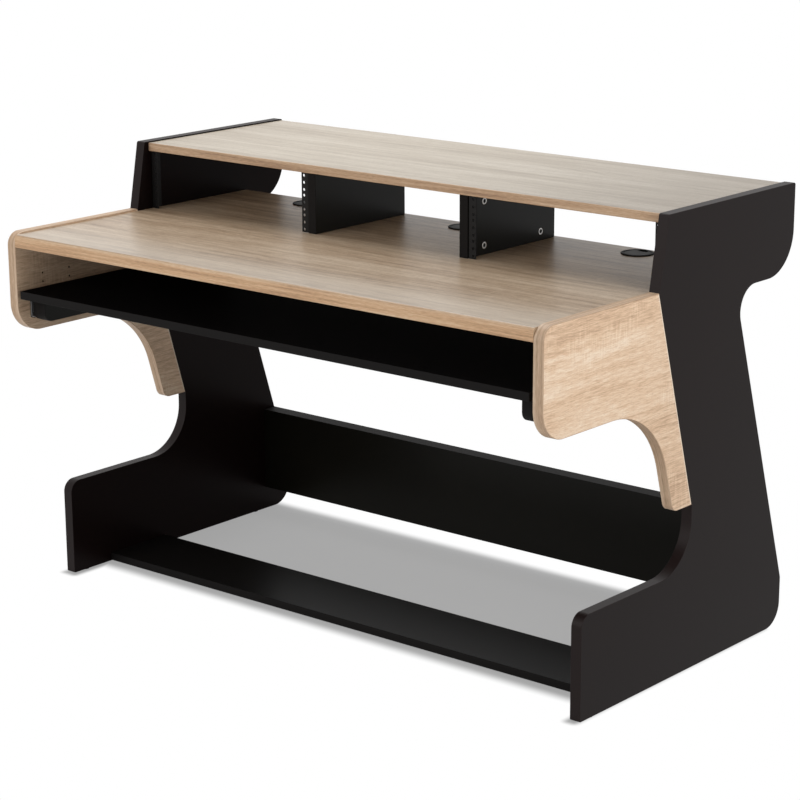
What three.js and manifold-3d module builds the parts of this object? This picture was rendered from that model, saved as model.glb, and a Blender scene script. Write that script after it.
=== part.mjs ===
// Studio desk: a wide worktop held between two Z-shaped side panels, a raised shelf over three
// 3U equipment bays with punched rack rails, and a keyboard tray on ball-bearing slides.
//
// Millimetres, +Z up, +X to the right of someone facing the desk, -Y towards that person.
// Pieces are drawn with y measured back from the worktop's front edge and z up from the floor.

import * as THREE from "three";
import { mergeVertices } from "three/addons/utils/BufferGeometryUtils.js";
import Module from "manifold-3d";

const wasm = await Module();
wasm.setup();

// Whole desk
const overallWidth = 1486;
const overallDepth = 878;
const worktopHeight = 827;
const glideHeight = 3;
const boardGap = 0.3;

// Rack geometry of 19-inch equipment
const rackUnitHeight = 44.45;
const rackUnits = 3;
const rackHoleSpan = 465.1;
const firstHoleRise = 6.35;
const holePitch = 15.875;
const holesPerUnit = 3;
const rackPlay = 1.65;
const bayHeight = rackUnits * rackUnitHeight + rackPlay;

// Top shelf, and the lip of the side panels above it
const shelfThickness = 19;
const shelfFront = 420;
const shelfRearInset = 2;
const shelfEdgeRadius = 2.5;
const panelLip = 3;
const shelfBottom = worktopHeight + bayHeight;
const shelfTop = shelfBottom + shelfThickness;

// Side panels
const panelThickness = 25;
const panelTop = shelfTop + panelLip;
const panelTopFront = 407;
const panelTopRadius = 5;
const footFront = 134;
const footTop = 225;
const footCornerRadius = 28;
const footToeRadius = 3;
const kneeRadius = 108;
const shinFront = 516;
const heelRadius = 52;
const heelTop = 111;
const heelBlendRadius = 30;
const neckDepth = 658.5;
const neckRadius = 54;
const headDrop = 34;
const headBottom = worktopHeight - headDrop;
const headRadius = 94;
const innerHalf = overallWidth / 2 - panelThickness;

// Slanted joint between each side panel and its cheek
const jointHeadDepth = 378;
const jointFootHeight = 364;

// Cheeks, the wooden brackets at the ends of the worktop, standing a lip above it
const cheekLip = 4;
const cheekTop = worktopHeight + cheekLip;
const cheekHeight = 228;
const cheekBottom = cheekTop - cheekHeight;
const cheekTopRadius = 30;
const cheekNoseRadius = 66;
const cheekLegWidth = 69;
const cheekArchRadius = 200;
const cheekTipRadius = 22;

// Worktop
const worktopThickness = 28;
const worktopDepth = 744;
const worktopEdgeRadius = 8;
const worktopUnderRadius = 2;

// Dividers of the equipment bays
const dividerThickness = 22;
const dividerFront = 424;
const dividerDepth = 307;
const dividerEdgeRadius = 1;

// Rack rails, angle steel with a punched front flange
const railSteel = 2;
const railHoleInset = 13.95;
const railHoleMargin = 6.55;
const railFlange = railHoleInset + railHoleMargin;
const railReturn = 28;
const railBendRadius = 2.5;
const railHoleRadius = 3.3;
const railSetback = 2;
const railHeight = rackUnits * rackUnitHeight;
const railRise = rackPlay / 2;

const sideBayWidth = rackHoleSpan + 2 * railHoleInset;
const dividerOuter = innerHalf - sideBayWidth;

// Cable grommets
const grommetHoleRadius = 30.3;
const grommetFlangeRadius = 36;
const grommetFlangeHeight = 2.6;
const grommetSleeveRadius = 30;
const grommetSleeveDepth = 24;
const grommetSeatRadius = 29.3;
const grommetSeatDepth = 0.6;
const grommetBoreRadius = 27;
const grommetEdgeRound = 1;
const grommetRearInset = 49;
const grommetDepth = worktopDepth - grommetRearInset;
const capRadius = 29;
const capThickness = 2.6;
const capSkirtOuter = 26;
const capSkirtInner = 24;
const capSkirtDepth = 7;
const capNotchWidth = 22;
const capNotchReach = 15;

// Keyboard tray and the runner under each of its ends
const trayClearance = 98;
const trayTop = worktopHeight - worktopThickness - trayClearance;
const trayThickness = 18;
const trayEndGap = 9;
const trayDepth = 350;
const trayFront = 1;
const trayEdgeRadius = 1.5;
const runnerThickness = 38;
const runnerHeight = 53;
const runnerFront = 34;
const runnerNoseRadius = 20;
const trayBottom = trayTop - trayThickness;
const trayWidth = 2 * (innerHalf - trayEndGap);

// Three-part ball-bearing slides, each between a cheek and a runner
const slideHeight = 45;
const slideThickness = 12.7;
const slideLength = 300;
const slideFront = 36;
const slideSteel = 1.4;
const slideRace = 0.5;
const slideWebGap = 0.8;
const slideDrop = 3;
const slideFlangeEnd = 1.2;

// Rear panel and foot board
const rearPanelThickness = 38;
const rearPanelBottom = 59;
const rearPanelTop = 263;
const rearPanelEdgeRadius = 1.5;
const footBoardThickness = 18;
const footBoardBottom = 4.5;
const footBoardFront = 252;
const footBoardDepth = 180;
const footBoardEdgeRadius = 1.5;

// Round glides under the side panels
const glideRadius = 9;
const glideFrontInset = 45;
const glideRearInset = 118;

// Cam locks that draw the boards together
const camRadius = 7.5;
const camDepth = 12;
const camRecess = 0.2;
const camSlotWidth = 1.8;
const camSlotLength = 9;
const camSlotDepth = 2.2;
const camEdgeInset = 34;
const camDividerRise = 20;
const camDividerFrontInset = 58;
const camDividerRearInset = 50;
const camRunnerDrop = 20;
const camRunnerInset = 62;
const camRearPanelInset = 40;
const camShelfInset = 60;
const camWorktopFrontInset = 110;
const camWorktopRearInset = 90;

// Facets and tool overrun
const arcStep = THREE.MathUtils.degToRad(7.5);
const lathePieces = 36;
const smallPieces = 16;
const holePieces = 12;
const overrun = 2;
const weldDistance = 1e-4;

const looks = {
  black: { color: 0x2a2828, roughness: 0.55, metalness: 0 },
  oak: { color: 0xcbb79c, roughness: 0.6, metalness: 0 },
  rail: { color: 0x1d1d1e, roughness: 0.5, metalness: 0.4 },
  steel: { color: 0xb9bcc0, roughness: 0.32, metalness: 1 },
  plastic: { color: 0x17181a, roughness: 0.5, metalness: 0 },
  cap: { color: 0x55565a, roughness: 0.45, metalness: 0 },
};

const axisX = new THREE.Vector3(1, 0, 0);
const axisY = new THREE.Vector3(0, 1, 0);
const axisZ = new THREE.Vector3(0, 0, 1);
const sides = [
  { name: "left", sign: -1 },
  { name: "right", sign: 1 },
];

function toSolid(geometry) {
  const plain = geometry.clone();
  plain.deleteAttribute("normal");
  plain.deleteAttribute("uv");
  const welded = mergeVertices(plain, weldDistance);
  return new wasm.Manifold(
    new wasm.Mesh({
      numProp: 3,
      vertProperties: welded.getAttribute("position").array,
      triVerts: new Uint32Array(welded.index.array),
    }),
  );
}

function toGeometry(solid) {
  const { numProp, vertProperties, triVerts } = solid.getMesh();
  const count = vertProperties.length / numProp;
  const positions = new Float32Array(count * 3);
  for (let i = 0; i < count; i++) {
    positions.set(vertProperties.subarray(i * numProp, i * numProp + 3), i * 3);
  }
  const geometry = new THREE.BufferGeometry();
  geometry.setAttribute("position", new THREE.BufferAttribute(positions, 3));
  geometry.setIndex(new THREE.BufferAttribute(triVerts, 1));
  geometry.computeVertexNormals();
  return geometry;
}

function cut(geometry, tools) {
  let solid = toSolid(geometry);
  for (const tool of tools) solid = solid.subtract(toSolid(tool));
  return toGeometry(solid);
}

// A closed outline through corners [u, v, radius]. Each corner is rounded by an arc that touches
// both of its sides; where two arcs would meet on a short side, they share its length.
function roundedOutline(corners) {
  const count = corners.length;
  const spots = corners.map(([u, v]) => new THREE.Vector2(u, v));
  const bends = corners.map(([, , radius = 0], i) => {
    const back = spots[(i + count - 1) % count].clone().sub(spots[i]).normalize();
    const ahead = spots[(i + 1) % count].clone().sub(spots[i]).normalize();
    const half = Math.acos(THREE.MathUtils.clamp(back.dot(ahead), -1, 1)) / 2;
    return { back, ahead, half, wanted: radius / Math.tan(half) };
  });
  const fit = (i) => {
    const next = (i + 1) % count;
    const wanted = bends[i].wanted + bends[next].wanted;
    return Math.min(1, spots[i].distanceTo(spots[next]) / wanted);
  };
  const points = bends.flatMap(({ back, ahead, half, wanted }, i) => {
    if (wanted === 0) return [spots[i]];
    const reach = wanted * Math.min(fit(i), fit((i + count - 1) % count));
    const middle = back.clone().add(ahead).normalize();
    const centre = middle.multiplyScalar(reach / Math.cos(half)).add(spots[i]);
    const start = back.clone().multiplyScalar(reach).add(spots[i]).sub(centre);
    const turn = (Math.PI - 2 * half) * (Math.sign(ahead.cross(back)) || 1);
    const pieces = Math.max(2, Math.ceil(Math.abs(turn) / arcStep));
    return Array.from({ length: pieces + 1 }, (_, k) =>
      start.clone().rotateAround(new THREE.Vector2(), (turn * k) / pieces).add(centre),
    );
  });
  return new THREE.Shape(points);
}

const flatExtrusion = (depth) => ({ depth, steps: 1, bevelEnabled: false });

// A profile in (y, z) extruded along +X from x = 0.
function extrudeAlongX(shape, length) {
  const turn = new THREE.Matrix4().makeBasis(axisY, axisZ, axisX);
  return new THREE.ExtrudeGeometry(shape, flatExtrusion(length)).applyMatrix4(turn);
}

// A profile in (x, z) extruded along +Y from y = 0.
function extrudeAlongY(shape, length) {
  const turn = new THREE.Matrix4().makeBasis(axisX, axisZ, axisY.clone().negate());
  const geometry = new THREE.ExtrudeGeometry(shape, flatExtrusion(length));
  return geometry.applyMatrix4(turn).translate(0, length, 0);
}

// A board across the desk, with all four long edges rounded.
function crossBoard(width, front, rear, bottom, top, radius, frontTopRadius = radius) {
  const shape = roundedOutline([
    [front, bottom, radius],
    [rear, bottom, radius],
    [rear, top, radius],
    [front, top, frontTopRadius],
  ]);
  return extrudeAlongX(shape, width).translate(-width / 2, 0, 0);
}

// A cylinder from a face at a point, running into the material along a unit direction.
function drill(at, into, radius, depth, pieces) {
  const tool = new THREE.CylinderGeometry(radius, radius, depth + overrun, pieces);
  const middle = into.clone().multiplyScalar((depth - overrun) / 2).add(at);
  tool.applyQuaternion(new THREE.Quaternion().setFromUnitVectors(axisY, into));
  return tool.translate(middle.x, middle.y, middle.z);
}

// The slanted joint's depth at a height, on a line from the shin up to the worktop.
function jointDepth(height) {
  const share = (height - jointFootHeight) / (cheekTop - jointFootHeight);
  return shinFront + (jointHeadDepth - shinFront) * share;
}

// The slanted rear edge's depth at a height between the heel and the neck.
function rearEdgeDepth(height) {
  const share = (height - heelTop) / (headBottom - heelTop);
  return overallDepth + (neckDepth - overallDepth) * share;
}

// Every cam lock: the board that holds it, the middle of its outer face and the way in.
function camPlaces() {
  const places = [];
  const add = (name, board, x, y, z, into) => {
    places.push({ name, board, at: new THREE.Vector3(x, y, z), into });
  };
  const endInset = innerHalf - camEdgeInset;
  const runnerInner = innerHalf - slideThickness - runnerThickness;
  const runnerRear = trayFront + trayDepth;
  for (const { name: side, sign } of sides) {
    const outward = axisX.clone().multiplyScalar(-sign);
    const inward = axisX.clone().multiplyScalar(sign);
    const dividerRows = {
      front: dividerFront + camDividerFrontInset,
      rear: dividerFront + dividerDepth - camDividerRearInset,
    };
    const dividerLevels = {
      lower: worktopHeight + camDividerRise,
      upper: shelfBottom - camDividerRise,
    };
    for (const [row, y] of Object.entries(dividerRows)) {
      for (const [level, z] of Object.entries(dividerLevels)) {
        const label = `cam_divider_${side}_${row}_${level}`;
        add(label, `divider_${side}`, sign * dividerOuter, y, z, outward);
      }
    }
    const runnerRows = { front: runnerFront + camRunnerInset, rear: runnerRear - camRunnerInset };
    for (const [row, y] of Object.entries(runnerRows)) {
      const z = trayBottom - camRunnerDrop;
      add(`cam_runner_${side}_${row}`, `tray_runner_${side}`, sign * runnerInner, y, z, inward);
    }
    const panelLevels = {
      lower: rearPanelBottom + camRearPanelInset,
      upper: rearPanelTop - camRearPanelInset,
    };
    for (const [level, z] of Object.entries(panelLevels)) {
      const y = rearEdgeDepth(rearPanelTop);
      const forward = axisY.clone().negate();
      add(`cam_rear_panel_${side}_${level}`, "rear_panel", sign * endInset, y, z, forward);
    }
    const footMiddle = footBoardFront + footBoardDepth / 2;
    add(`cam_foot_board_${side}`, "foot_board", sign * endInset, footMiddle, footBoardBottom, axisZ);
    const shelfRows = {
      front: shelfFront + camShelfInset,
      rear: overallDepth - shelfRearInset - camShelfInset,
    };
    for (const [row, y] of Object.entries(shelfRows)) {
      add(`cam_shelf_${side}_${row}`, "top_shelf", sign * endInset, y, shelfBottom, axisZ);
    }
    const worktopRows = { front: camWorktopFrontInset, rear: worktopDepth - camWorktopRearInset };
    const underside = worktopHeight - worktopThickness;
    for (const [row, y] of Object.entries(worktopRows)) {
      add(`cam_worktop_${side}_${row}`, "worktop", sign * endInset, y, underside, axisZ);
    }
  }
  return places;
}

const cams = camPlaces();

function withCamBores(board, geometry) {
  const bores = cams
    .filter((cam) => cam.board === board)
    .map((cam) => drill(cam.at, cam.into, camRadius + boardGap, camDepth + boardGap, smallPieces));
  return cut(geometry, bores);
}

function sidePanelGeometry() {
  const shape = roundedOutline([
    [footFront, glideHeight, footToeRadius],
    [footFront, footTop, footCornerRadius],
    [shinFront, footTop, kneeRadius],
    [shinFront, jointFootHeight],
    [jointHeadDepth, cheekTop],
    [panelTopFront, panelTop, panelTopRadius],
    [overallDepth, panelTop, panelTopRadius],
    [overallDepth, headBottom, headRadius],
    [neckDepth, headBottom, neckRadius],
    [overallDepth, heelTop, heelBlendRadius],
    [overallDepth, glideHeight, heelRadius],
  ]);
  return extrudeAlongX(shape, panelThickness);
}

function cheekGeometry() {
  const shape = roundedOutline([
    [0, cheekTop, cheekTopRadius],
    [jointHeadDepth - boardGap, cheekTop],
    [shinFront - boardGap, jointFootHeight],
    [shinFront - cheekLegWidth, jointFootHeight, cheekTipRadius],
    [jointDepth(cheekBottom) - cheekLegWidth, cheekBottom, cheekArchRadius],
    [0, cheekBottom, cheekNoseRadius],
  ]);
  return extrudeAlongX(shape, panelThickness);
}

// The middle of each bay across the desk, where its grommet sits.
const bayCentres = {
  left: -(innerHalf + dividerOuter) / 2,
  centre: 0,
  right: (innerHalf + dividerOuter) / 2,
};

function worktopGeometry() {
  const bottom = worktopHeight - worktopThickness;
  const board = crossBoard(
    2 * innerHalf, 0, worktopDepth, bottom, worktopHeight, worktopUnderRadius, worktopEdgeRadius,
  );
  const holes = Object.values(bayCentres).map((x) => {
    const top = new THREE.Vector3(x, grommetDepth, worktopHeight);
    const down = axisZ.clone().negate();
    return drill(top, down, grommetHoleRadius, worktopThickness + overrun, lathePieces);
  });
  return withCamBores("worktop", cut(board, holes));
}

function dividerGeometry(sign) {
  const inner = sign * (dividerOuter - dividerThickness);
  const left = Math.min(inner, sign * dividerOuter);
  const rear = dividerFront + dividerDepth;
  const shape = new THREE.Shape();
  shape.setFromPoints(
    roundedOutline([
      [left, dividerFront, dividerEdgeRadius],
      [left + dividerThickness, dividerFront, dividerEdgeRadius],
      [left + dividerThickness, rear, dividerEdgeRadius],
      [left, rear, dividerEdgeRadius],
    ]).getPoints(),
  );
  const upright = new THREE.ExtrudeGeometry(shape, flatExtrusion(bayHeight));
  return upright.translate(0, 0, worktopHeight);
}

// An angle-steel rail: the punched flange faces the front, the return lies along the board.
// It is drawn with the board's face at x = 0 and the flange running to +X or -X.
function railGeometry(sign) {
  const face = dividerFront + railSetback;
  const inset = boardGap;
  const shape = roundedOutline([
    [sign * inset, face, railBendRadius],
    [sign * railFlange, face, 0],
    [sign * railFlange, face + railSteel, 0],
    [sign * (inset + railSteel), face + railSteel, 0],
    [sign * (inset + railSteel), face + railReturn, 0],
    [sign * inset, face + railReturn, 0],
  ]);
  const bar = new THREE.ExtrudeGeometry(shape, flatExtrusion(railHeight));
  const holes = [];
  for (let unit = 0; unit < rackUnits; unit++) {
    for (let hole = 0; hole < holesPerUnit; hole++) {
      const rise = unit * rackUnitHeight + firstHoleRise + hole * holePitch;
      const middle = new THREE.Vector3(sign * railHoleInset, face, rise);
      holes.push(drill(middle, axisY, railHoleRadius, railSteel + overrun, holePieces));
    }
  }
  return cut(bar, holes).translate(0, 0, worktopHeight + railRise);
}

function lathe(profile) {
  const points = profile.map(([radius, height]) => new THREE.Vector2(radius, height));
  const geometry = new THREE.LatheGeometry([...points, points[0]], lathePieces);
  return toGeometry(toSolid(geometry.rotateX(Math.PI / 2)));
}

// The ring is drawn about its own axis, with the worktop's surface at z = 0.
function grommetRingGeometry() {
  return lathe([
    [grommetBoreRadius, -grommetSleeveDepth],
    [grommetSleeveRadius, -grommetSleeveDepth],
    [grommetSleeveRadius, 0],
    [grommetFlangeRadius, 0],
    [grommetFlangeRadius, grommetFlangeHeight - grommetEdgeRound],
    [grommetFlangeRadius - grommetEdgeRound, grommetFlangeHeight],
    [grommetSeatRadius, grommetFlangeHeight],
    [grommetSeatRadius, -grommetSeatDepth],
    [grommetBoreRadius, -grommetSeatDepth],
  ]);
}

// The cap rests on the ring's seat; its skirt drops inside the sleeve, and a notch at the rear
// lets cables through.
function grommetCapGeometry() {
  const seat = -grommetSeatDepth;
  const body = lathe([
    [0, seat],
    [capSkirtInner, seat],
    [capSkirtInner, seat - capSkirtDepth],
    [capSkirtOuter, seat - capSkirtDepth],
    [capSkirtOuter, seat],
    [capRadius, seat],
    [capRadius, seat + capThickness],
    [0, seat + capThickness],
  ]);
  const reach = capRadius - capNotchReach + overrun;
  const tall = capThickness + capSkirtDepth + 2 * overrun;
  const notch = new THREE.BoxGeometry(capNotchWidth, reach, tall);
  notch.translate(0, capNotchReach + reach / 2, seat - capSkirtDepth - overrun + tall / 2);
  return cut(body, [notch]);
}

function trayGeometry() {
  const rear = trayFront + trayDepth;
  return crossBoard(trayWidth, trayFront, rear, trayBottom, trayTop, trayEdgeRadius);
}

function runnerGeometry() {
  const bottom = trayBottom - runnerHeight;
  const shape = roundedOutline([
    [runnerFront, bottom, runnerNoseRadius],
    [trayFront + trayDepth, bottom],
    [trayFront + trayDepth, trayBottom],
    [runnerFront, trayBottom],
  ]);
  return extrudeAlongX(shape, runnerThickness);
}

// One slide member: a channel whose web stands at one side and whose flanges run to the other.
function channelGeometry(sign, web, flangeEnd, halfHeight) {
  const step = Math.sign(flangeEnd - web) * slideSteel;
  const corners = [
    [web, -halfHeight],
    [flangeEnd, -halfHeight],
    [flangeEnd, slideSteel - halfHeight],
    [web + step, slideSteel - halfHeight],
    [web + step, halfHeight - slideSteel],
    [flangeEnd, halfHeight - slideSteel],
    [flangeEnd, halfHeight],
    [web, halfHeight],
  ];
  const shape = roundedOutline(corners.map(([reach, z]) => [sign * (innerHalf - reach), z]));
  const middle = trayBottom - slideDrop - slideHeight / 2;
  return extrudeAlongY(shape, slideLength).translate(0, slideFront, middle);
}

// Reaches are measured inwards from the cheek's face; each member nests inside the one before.
function slideMembers(sign) {
  const outerHalf = slideHeight / 2;
  const middleHalf = outerHalf - slideSteel - slideRace;
  const innerMemberHalf = middleHalf - slideSteel - slideRace;
  const flangeEnd = slideThickness - slideFlangeEnd;
  const middleWeb = slideSteel + slideWebGap;
  const innerFlangeEnd = middleWeb + slideSteel + slideWebGap;
  return {
    outer: channelGeometry(sign, 0, flangeEnd, outerHalf),
    middle: channelGeometry(sign, middleWeb, flangeEnd, middleHalf),
    inner: channelGeometry(sign, slideThickness, innerFlangeEnd, innerMemberHalf),
  };
}

function rearPanelGeometry() {
  const rear = rearEdgeDepth(rearPanelTop);
  const front = rear - rearPanelThickness;
  const board = crossBoard(
    2 * innerHalf, front, rear, rearPanelBottom, rearPanelTop, rearPanelEdgeRadius,
  );
  return withCamBores("rear_panel", board);
}

function footBoardGeometry() {
  const rear = footBoardFront + footBoardDepth;
  const top = footBoardBottom + footBoardThickness;
  const board = crossBoard(
    2 * innerHalf, footBoardFront, rear, footBoardBottom, top, footBoardEdgeRadius,
  );
  return withCamBores("foot_board", board);
}

function shelfGeometry() {
  const rear = overallDepth - shelfRearInset;
  const board = crossBoard(2 * innerHalf, shelfFront, rear, shelfBottom, shelfTop, shelfEdgeRadius);
  return withCamBores("top_shelf", board);
}

// A cam lock with its cross slot in the outer face, drawn along +Y from that face.
function camGeometry() {
  const body = new THREE.CylinderGeometry(camRadius, camRadius, camDepth - camRecess, smallPieces);
  body.translate(0, (camDepth + camRecess) / 2, 0);
  const depth = camSlotDepth + overrun;
  const middle = camRecess + camSlotDepth - depth / 2;
  const slots = [
    new THREE.BoxGeometry(camSlotLength, depth, camSlotWidth).translate(0, middle, 0),
    new THREE.BoxGeometry(camSlotWidth, depth, camSlotLength).translate(0, middle, 0),
  ];
  return cut(body, slots);
}

function mesh(name, geometry, look) {
  const made = new THREE.Mesh(geometry, new THREE.MeshStandardMaterial(looks[look]));
  made.name = name;
  return made;
}

function panels() {
  const group = new THREE.Group();
  for (const { name, sign } of sides) {
    const x = sign > 0 ? innerHalf : -overallWidth / 2;
    const panel = mesh(`side_panel_${name}`, sidePanelGeometry(), "black");
    const cheek = mesh(`cheek_${name}`, cheekGeometry(), "oak");
    panel.position.x = x;
    cheek.position.x = x;
    group.add(panel, cheek);
  }
  return group;
}

function boards() {
  const group = new THREE.Group();
  group.add(
    mesh("worktop", worktopGeometry(), "oak"),
    mesh("top_shelf", shelfGeometry(), "oak"),
    mesh("rear_panel", rearPanelGeometry(), "black"),
    mesh("foot_board", footBoardGeometry(), "black"),
  );
  return group;
}

function equipmentBays() {
  const group = new THREE.Group();
  for (const { name, sign } of sides) {
    const board = `divider_${name}`;
    group.add(mesh(board, withCamBores(board, dividerGeometry(sign)), "black"));
    const outerRail = mesh(`rack_rail_outer_${name}`, railGeometry(-sign), "rail");
    const innerRail = mesh(`rack_rail_inner_${name}`, railGeometry(sign), "rail");
    outerRail.position.x = sign * innerHalf;
    innerRail.position.x = sign * dividerOuter;
    group.add(outerRail, innerRail);
  }
  return group;
}

function grommets() {
  const group = new THREE.Group();
  for (const [name, x] of Object.entries(bayCentres)) {
    const ring = mesh(`grommet_ring_${name}`, grommetRingGeometry(), "plastic");
    const cap = mesh(`grommet_cap_${name}`, grommetCapGeometry(), "cap");
    const grommet = new THREE.Group();
    grommet.position.set(x, grommetDepth, worktopHeight);
    grommet.add(ring, cap);
    group.add(grommet);
  }
  return group;
}

function keyboardTray() {
  const group = new THREE.Group();
  group.add(mesh("keyboard_tray", trayGeometry(), "black"));
  for (const { name, sign } of sides) {
    const outerFace = innerHalf - slideThickness;
    const left = sign > 0 ? outerFace - runnerThickness : -outerFace;
    const board = `tray_runner_${name}`;
    const placed = runnerGeometry().translate(left, 0, 0);
    group.add(mesh(board, withCamBores(board, placed), "black"));
    for (const [member, geometry] of Object.entries(slideMembers(sign))) {
      group.add(mesh(`slide_${member}_${name}`, geometry, "steel"));
    }
  }
  return group;
}

function glides() {
  const group = new THREE.Group();
  const rows = { front: footFront + glideFrontInset, rear: overallDepth - glideRearInset };
  for (const { name, sign } of sides) {
    for (const [row, y] of Object.entries(rows)) {
      const disc = new THREE.CylinderGeometry(glideRadius, glideRadius, glideHeight, smallPieces);
      const glide = mesh(`glide_${name}_${row}`, disc.rotateX(Math.PI / 2), "plastic");
      glide.position.set(sign * (innerHalf + panelThickness / 2), y, glideHeight / 2);
      group.add(glide);
    }
  }
  return group;
}

function camLocks() {
  const group = new THREE.Group();
  for (const cam of cams) {
    const lock = mesh(cam.name, camGeometry(), "steel");
    lock.position.copy(cam.at);
    lock.quaternion.setFromUnitVectors(axisY, cam.into);
    group.add(lock);
  }
  return group;
}

const desk = new THREE.Group();
desk.add(panels(), boards(), equipmentBays(), grommets(), keyboardTray(), glides(), camLocks());
desk.position.y = -overallDepth / 2;

const root = new THREE.Group();
root.add(desk);

export default root;
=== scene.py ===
"""Looks of the studio desk: oak-effect and black laminate boards with banded edges, rack rails,
ball-bearing slides, grommets and cam locks, in a white studio.

Lengths are millimetres in the maker's layout: x from the desk's middle plane, y back from the
worktop's front edge, z up from the floor. row() turns them into the frame's metres.
"""

import math

import bpy
import numpy as np
from mathutils import Matrix, Vector


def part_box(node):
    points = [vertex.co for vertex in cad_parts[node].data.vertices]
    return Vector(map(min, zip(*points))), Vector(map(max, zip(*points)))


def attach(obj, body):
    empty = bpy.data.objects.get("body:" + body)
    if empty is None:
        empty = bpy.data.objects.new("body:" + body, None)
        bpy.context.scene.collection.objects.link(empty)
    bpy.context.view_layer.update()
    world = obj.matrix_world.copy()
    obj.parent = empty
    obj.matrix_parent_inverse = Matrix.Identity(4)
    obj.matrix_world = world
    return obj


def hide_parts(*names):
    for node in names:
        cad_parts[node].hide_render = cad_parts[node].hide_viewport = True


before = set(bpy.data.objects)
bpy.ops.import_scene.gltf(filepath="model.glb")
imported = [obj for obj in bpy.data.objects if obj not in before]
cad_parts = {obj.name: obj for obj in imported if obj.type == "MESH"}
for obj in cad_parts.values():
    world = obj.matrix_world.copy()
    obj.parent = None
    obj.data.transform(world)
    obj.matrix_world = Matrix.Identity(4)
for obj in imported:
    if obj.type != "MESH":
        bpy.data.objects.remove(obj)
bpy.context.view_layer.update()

# A millimetre in metres, and where the desk's mid-depth lies
MM, HALF_DEPTH = 0.001, 439.0
SIDES = {"left": -1, "right": 1}
BAYS = ("left", "centre", "right")
X, Y, Z = 0, 1, 2

# Boards: the side panels' inner faces and thickness, and how round the edges are
INNER, PANEL = 718.0, 25.0
JOINT_GAP = 0.3
PANEL_EASE, CHEEK_EASE, DIVIDER_EASE, BOARD_EASE, END_EASE = 0.8, 1.5, 0.9, 0.7, 0.5
WORKTOP_TOP, WORKTOP_DEEP = 827.0, 744.0
WORKTOP_NOSE, WORKTOP_UNDER = 8.0, 2.0
SHELF_ROUND, TRAY_ROUND, DIVIDER_ROUND, RUNNER_ROUND, RUNNER_NOSE = 1.5, 1.0, 1.2, 1.0, 20.0

# The turn between points of a large and of a small rounding, and the points on an eased edge
ARC_STEP, SMALL_STEP = math.radians(2.5), math.radians(15)
EDGE_POINTS, FEW_POINTS = 5, 3
# Sides of the round forms
ROUND_SIDES, LOCK_SIDES, BORE_SIDES = 72, 36, 28
GLIDE_SIDES, HOLE_SIDES, PILOT_SIDES = 32, 20, 12
# Places in a piece's list of finishes
FACE, EDGE, BORE = 0, 1, 2

# Outlines of the side panel and the cheek: depth, height and radius of each corner
SIDE_PANEL = [
    (134, 3, 3), (134, 225, 28), (516, 225, 108), (516, 364, 0),
    (378, 831, 0), (407, 984, 5), (878, 984, 5), (878, 793, 94),
    (658.5, 793, 54), (878, 111, 30), (878, 3, 52),
]
CHEEK = [
    (378.0 - JOINT_GAP, 831, 0), (516.0 - JOINT_GAP, 364, 0), (447, 364, 22),
    (376.37, 603, 200), (0, 603, 66), (0, 831, 30),
]

# Grommets
GROMMET_BORE = 30.3
CAP_RADIUS, CAP_NOTCH_HALF, CAP_NOTCH_REACH = 29.0, 11.0, 15.0
SKIRT_OUTER, SKIRT_INNER, SKIRT_DEEP, SKIRT_EASE = 26.0, 24.0, 7.0, 0.3
CAP_BOTTOM, CAP_THICK, CAP_EASE = -0.6, 2.6, 0.7
# Radius, height over the worktop and rounding of the ring's corners
RING_PROFILE = [
    (27.0, -24.0, 0.3), (30.0, -24.0, 0.3), (30.0, 0.0, 0.0), (36.0, 0.0, 0.0),
    (36.0, 2.6, 1.4), (29.3, 2.6, 0.9), (29.3, -0.6, 0.0), (27.0, -0.6, 0.3),
]

# Cam locks: radius and height from the back forward, and how far height nought is over the face
LOCK_PROFILE = [
    (7.2, -11.9), (7.5, -11.6), (7.5, -0.9), (7.1, -0.5), (6.7, -0.25), (4.9, -0.25),
    (4.5, -0.5), (4.2, -3.0),
]
LOCK_SUNK = 0.25
LOCK_BORE, LOCK_BORE_DEEP = 7.8, 12.3
CROSS_HALF_LONG, CROSS_HALF_WIDE, CROSS_DEEP = 3.4, 0.8, 1.7
# The lock's dish, darkened with painted shade as a shaded recess, lies within this radius and between
# these heights
DISH_REACH, DISH_TOP, DISH_BOTTOM = 4.6, -0.4, -3 * CROSS_DEEP

# Rails and slides: thickness of the steel, radius of the bends and tips, and how round the ends are
STEEL, RAIL_BEND, RAIL_INNER_BEND, RAIL_TIP, RAIL_EASE = 2.0, 2.5, 0.6, 0.3, 0.2
RAIL_HOLE, RAIL_HOLE_INSET = 3.3, 13.95
UNIT, HOLE_PITCH, FIRST_HOLE, UNITS, HOLES_PER_UNIT = 44.45, 15.875, 6.35, 3, 3
SLIDE_STEEL, SLIDE_BEND, SLIDE_INNER_BEND, SLIDE_TIP, SLIDE_EASE = 1.4, 2.2, 0.8, 0.4, 0.15

# Pilot holes in the cheeks: depth and height of each
PILOTS = [(77.0, 730.0), (77.0, 710.0), (157.0, 730.0), (157.0, 710.0)]
PILOT_RADIUS, PILOT_DEEP = 2.4, 9.0

# Glides: how far inside the rim and how high over the floor the corners of the foot lie
GLIDE_FOOT = [(1.0, 0.0), (0.3, 0.3), (0.0, 1.0)]
GLIDE_TOP_INSET = 1.2


def row(points):
    """Layout millimetres to the frame's metres: y is counted from mid-depth."""
    return (points - np.array([0.0, HALF_DEPTH, 0.0])) * MM


def layout_box(node):
    """The lowest and highest corner of a CAD node, in layout millimetres."""
    return [np.array(corner) / MM + np.array([0.0, HALF_DEPTH, 0.0]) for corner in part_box(node)]


# Outlines


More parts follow.
